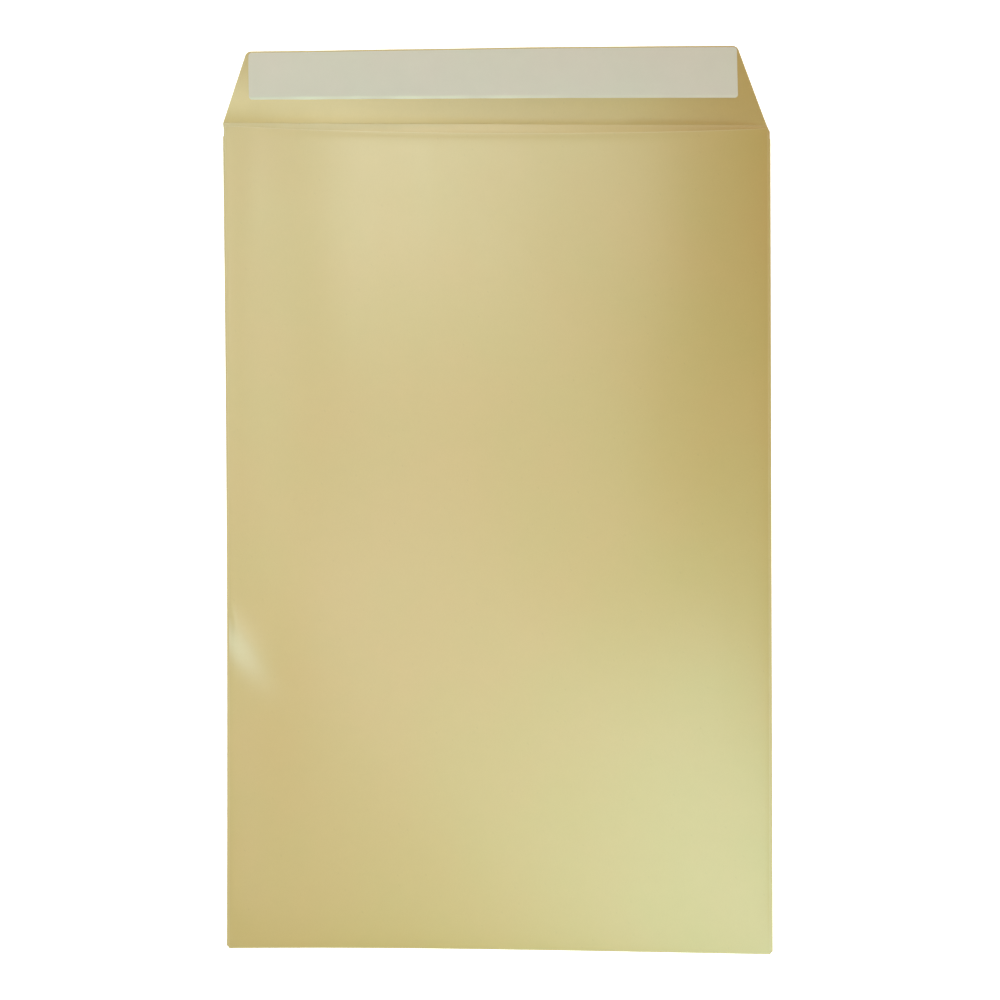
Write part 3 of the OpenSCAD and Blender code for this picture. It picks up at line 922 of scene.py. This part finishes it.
def kraft_outside(finish):
    """The machine-glazed face of the kraft paper."""
    return paper_material(
        "Glazed kraft", (finish.kraft, finish.kraft_warm, finish.cut_edge_and_highlight),
        {"Cloud Size": 0.008, "Cloud Depth": 0.02, "Fibre Depth": 0.035, "Speck Depth": 0.1},
        {"Roughness": finish.glaze, "Streak Depth": 0.05, "Blotch Depth": 0.05},
        {"Fold Reach": 0.0012, "Edge Reach": 0.0006}, GLAZED,
    )


def kraft_inside(finish):
    """The inner face of the kraft paper, with painted shade that turns it darker and browner towards its
    right side.
    """
    return paper_material(
        "Kraft inner face", (finish.kraft_inside, finish.kraft_inside_shade, finish.cut_edge_and_highlight),
        {"Cloud Size": 0.006, "Cloud Depth": 0.03, "Fibre Depth": 0.05, "Speck Depth": 0.12},
        {"Roughness": finish.glaze, "Streak Depth": 0.03, "Blotch Depth": 0.05},
        {"Fold Reach": 0.0010, "Edge Reach": 0.0006}, GLAZED, (52 * MM, 116 * MM),
    )


def kraft_cut_edge(finish):
    """The cut edge of the kraft paper, where its fibres stand open."""
    return paper_material(
        "Kraft cut edge", (finish.cut_edge_and_highlight, finish.cut_edge_and_highlight, finish.cut_edge_and_highlight),
        {"Cloud Size": 0.002, "Cloud Depth": 0.05, "Fibre Depth": 0.1, "Speck Depth": 0.1},
        {"Roughness": 0.8}, {}, {"Specular IOR Level": 0.3},
    )


def strip_paper(finish):
    """The silicone-coated glassine of the peel-off strip."""
    return paper_material(
        "Silicone strip", (finish.strip, finish.strip_warm, finish.strip_pale_and_highlight),
        {"Cloud Size": 0.012, "Cloud Depth": 0.03, "Fibre Depth": 0.02, "Speck Depth": 0.02},
        {"Roughness": 0.66, "Streak Depth": 0.06, "Blotch Depth": 0.08},
        {"Fold Reach": 0.0005, "Edge Reach": 0.0006}, {"Specular IOR Level": 0.64},
    )


def sticky_film(name, tint, roughness, ripple):
    """Gum or adhesive: a coloured film whose surface is drawn into small ripples by its roller."""
    material, tree, bsdf = new_material(name)
    at = attribute(tree, FLAT_PLACE, "Vector")
    sheet = group_node(tree, "Paper formation", {"Vector": at, "Cloud Size": 0.003, "Cloud Depth": 0.06})
    gloss = group_node(tree, "Glazing", {"Vector": at, "Roughness": roughness})
    feed(tree, bsdf.inputs["Base Color"], mix_colour(tree, 1.0, rgba(tint), sheet["Tone"], "MULTIPLY"))
    feed(tree, bsdf.inputs["Roughness"], gloss["Roughness"])
    waves = noise(tree, stretched(tree, at, (1500, 250, 1)), 1.0, 2.0, 0.5)
    roughen(tree, bsdf, times(tree, waves, ripple), 0.8)
    return material


# Operators, one for each piece or group of like pieces

class ENVELOPE_OT_fold_sheet(bpy.types.Operator):
    """Folds the kraft sheet: front and back panels, side flaps and seal flap in one skin"""

    bl_idname = "envelope.fold_sheet"
    bl_label = "Fold Kraft Sheet"

    def execute(self, context):
        grid = SheetGrid(FoldedSheet(context.scene))
        mesh = thin_mesh("kraft_sheet", grid.face(0), grid.face(1), grid.present(), grid.marks())
        finish = context.scene.envelope_finish
        papers = [kraft_outside(finish), kraft_inside(finish), kraft_cut_edge(finish)]
        add_piece(context, "kraft_sheet", mesh, papers, "kraft_paper", "envelope_sheet")
        return {"FINISHED"}


class ENVELOPE_OT_lay_seam_gum(bpy.types.Operator):
    """Lays the two hidden lines of gum between the side flaps and the back panel"""

    bl_idname = "envelope.lay_seam_gum"
    bl_label = "Lay Seam Gum"

    def execute(self, context):
        sheet = FoldedSheet(context.scene)
        dried = sticky_film("Dried gum", context.scene.envelope_finish.gum, 0.6, 1e-5)
        low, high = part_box("seam_gum_left")
        y = np.linspace(low.y, high.y, 113)[:, None]
        for side_name, hand in (("left", -1), ("right", 1)):
            x = np.sort(hand * np.linspace(sheet.gum_x_in, sheet.gum_x_out, 5))
            rise = sheet.rise(x, y)
            lower = sheet.settle(points_of(x, y, sheet.side_flap_z + sheet.body.paper + rise))
            upper = sheet.settle(points_of(x, y, sheet.back_z + rise))
            mesh = film_mesh(f"seam_gum_{side_name}_film", lower, upper)
            add_piece(context, f"gum_line_{side_name}", mesh, [dried], "seam_gum", f"seam_gum_{side_name}")
        return {"FINISHED"}


class ENVELOPE_OT_lay_seal_adhesive(bpy.types.Operator):
    """Lays the band of pressure-sensitive adhesive on the inner face of the seal flap"""

    bl_idname = "envelope.lay_seal_adhesive"
    bl_label = "Lay Seal Adhesive"

    def execute(self, context):
        sheet = FoldedSheet(context.scene)
        flap, paper = sheet.flap, sheet.body.paper
        half_w = sheet.strip_half_w - flap.adhesive_margin
        low, high = sheet.strip_low + flap.dry_edge, sheet.strip_high - flap.adhesive_margin
        x, v = np.linspace(-half_w, half_w, 91), np.linspace(low, high, 17)[:, None]
        lower, upper = sheet.flap_point(x, v, paper), sheet.flap_point(x, v, paper + flap.adhesive)
        mesh = film_mesh("adhesive_band", lower, upper)
        tacky = sticky_film("Tacky adhesive", context.scene.envelope_finish.adhesive, 0.2, 4e-5)
        add_piece(context, "adhesive_band", mesh, [tacky], "seal_adhesive", "seal_adhesive")
        return {"FINISHED"}


class ENVELOPE_OT_lay_strip(bpy.types.Operator):
    """Lays the peel-off strip over the adhesive, with its dry edge curling up"""

    bl_idname = "envelope.lay_strip"
    bl_label = "Lay Peel-off Strip"

    def execute(self, context):
        lower, upper, painted_highlight = strip_faces(FoldedSheet(context.scene))
        mesh = film_mesh("peel_strip", lower, upper, painted_highlight)
        paper = strip_paper(context.scene.envelope_finish)
        add_piece(context, "peel_strip", mesh, [paper], "release_liner", "release_liner")
        return {"FINISHED"}


class ENVELOPE_OT_set_stage(bpy.types.Operator):
    """Sets the pale floor, the soft lights and the camera"""

    bl_idname = "envelope.set_stage"
    bl_label = "Set Stage"

    def execute(self, context):
        stage = context.scene.envelope_stage
        self.lay_floor(context, stage)
        self.light_sky(context, stage)
        axes = self.camera_axes(stage)
        self.hang_lights(context, axes)
        self.place_camera(context, stage, axes)
        return {"FINISHED"}

    def lay_floor(self, context, stage):
        """A wide, pale, even floor that glows a little."""
        half = stage.floor_size / 2
        corners = [(-half, -half, 0), (half, -half, 0), (half, half, 0), (-half, half, 0)]
        mesh = bpy.data.meshes.new("floor")
        mesh.from_pydata(corners, [], [(0, 1, 2, 3)])
        pale, _, bsdf = new_material("Pale floor")
        looks = {
            "Base Color": rgba(stage.floor_colour), "Roughness": 1.0, "Specular IOR Level": 0.0,
            "Emission Color": (1, 1, 1, 1), "Emission Strength": stage.floor_glow,
        }
        for socket, value in looks.items():
            bsdf.inputs[socket].default_value = value
        mesh.materials.append(pale)
        floor = place(context, "floor", mesh)

    def light_sky(self, context, stage):
        """An even white light from all round."""
        world = bpy.data.worlds.new("Even sky")
        world.use_nodes = True
        sky = world.node_tree.nodes["Background"].inputs
        sky["Color"].default_value = (1, 1, 1, 1)
        sky["Strength"].default_value = stage.sky
        context.scene.world = world
        context.scene.view_settings.view_transform = "Standard"

    def camera_axes(self, stage):
        """The camera's right, up and backward directions, as the rows of Rx(pitch) Ry(roll) Rz(turn)."""
        return (
            Matrix.Rotation(stage.pitch, 3, "X")
            @ Matrix.Rotation(stage.roll, 3, "Y")
            @ Matrix.Rotation(stage.turn, 3, "Z")
        )

    def hang_lights(self, context, axes):
        """Hangs each light where flat paper mirrors it to the camera at its spot."""
        back = axes[2]
        mirrored = Vector((-back.x / back.z, -back.y / back.z, 1))
        for name, ((x, y), height, side, power, tint) in SOFT_LIGHTS.items():
            lamp = bpy.data.lights.new(name, "AREA")
            lamp.shape = "SQUARE"
            lamp.size = side
            lamp.energy = power
            lamp.color = tint
            lamp.use_shadow = not name.endswith("fill")
            light = place(context, name, lamp)
            spot = Vector((x, y, 0))
            light.location = spot + mirrored * height
            light.rotation_euler = (spot - light.location).to_track_quat("-Z", "Y").to_euler()
            light.visible_camera = False

    def place_camera(self, context, stage, axes):
        """Looks down on the envelope from far off, so that its sides stay parallel as in the photograph."""
        lens = bpy.data.cameras.new("camera")
        lens.sensor_width = 36.0
        lens.lens = lens.sensor_width * stage.distance / stage.frame_height
        lens.clip_end = 10 * stage.distance
        camera = place(context, "camera", lens)
        camera.rotation_euler = axes.transposed().to_euler()
        camera.location = Vector(stage.aim) + axes[2] * stage.distance
        context.scene.camera = camera


class ENVELOPE_PT_sidebar(bpy.types.Panel):
    """Lists the steps in which the envelope is made, with the settings that they use"""

    bl_label = "Kraft Pocket Envelope"
    bl_idname = "ENVELOPE_PT_sidebar"
    bl_space_type = "VIEW_3D"
    bl_region_type = "UI"
    bl_category = "Envelope"

    def draw(self, context):
        for operator in OPERATORS:
            self.layout.operator(operator.bl_idname)
        for name in SETTINGS:
            box = self.layout.box()
            group = getattr(context.scene, name)
            for setting in group.bl_rna.properties.keys():
                if setting not in ("rna_type", "name"):
                    box.prop(group, setting)


SETTINGS = {
    "envelope_body": EnvelopeBody,
    "envelope_flap": EnvelopeFlap,
    "envelope_handling": EnvelopeHandling,
    "envelope_finish": EnvelopeFinish,
    "envelope_stage": EnvelopeStage,
}
OPERATORS = (
    ENVELOPE_OT_fold_sheet,
    ENVELOPE_OT_lay_seam_gum,
    ENVELOPE_OT_lay_seal_adhesive,
    ENVELOPE_OT_lay_strip,
    ENVELOPE_OT_set_stage,
)
CLASSES = (*SETTINGS.values(), *OPERATORS, ENVELOPE_PT_sidebar)


def register():
    """Registers the classes, and hangs each group of settings on the scene."""
    for made in CLASSES:
        bpy.utils.register_class(made)
    for name, group in SETTINGS.items():
        setattr(bpy.types.Scene, name, bpy.props.PointerProperty(type=group))


def unregister():
    """Takes the settings and the classes away again."""
    for name in SETTINGS:
        delattr(bpy.types.Scene, name)
    for made in reversed(CLASSES):
        bpy.utils.unregister_class(made)


def main():
    """Makes the whole scene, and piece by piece."""
    register()
    bpy.ops.envelope.fold_sheet()
    bpy.ops.envelope.lay_seam_gum()
    bpy.ops.envelope.lay_seal_adhesive()
    bpy.ops.envelope.lay_strip()
    bpy.ops.envelope.set_stage()
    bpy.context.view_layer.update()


if __name__ == "__main__":
    main()
